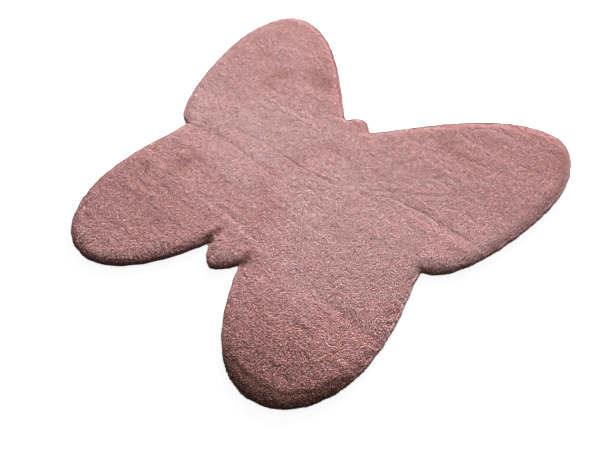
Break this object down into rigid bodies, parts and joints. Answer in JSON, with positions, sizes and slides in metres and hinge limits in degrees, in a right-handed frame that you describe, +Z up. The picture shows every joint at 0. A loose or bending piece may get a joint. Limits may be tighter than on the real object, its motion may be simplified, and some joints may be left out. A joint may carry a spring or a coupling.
{
  "type": "butterfly shaped rug",
  "caption": "Flat plush floor rug cut to the outline of a butterfly, with rounded thick pile edges, for a bedroom or nursery floor.",
  "frame": {"origin": "middle of the rug's outer box, on the flat underside", "axes": "+X across the wings, +Y along the body from the tail to the head, +Z up out of the pile"},
  "size_m": [0.86, 0.8432, 0.0212],
  "materials": {
    "plush_pile": "dusty rose cut pile, soft and matt with a faint sheen along the brushed nap",
    "ground_cloth": "plain matt knitted ground cloth on the underside"
  },
  "bodies": {
    "root": {"rug": "plush_pile"}
  },
  "joints": []
}
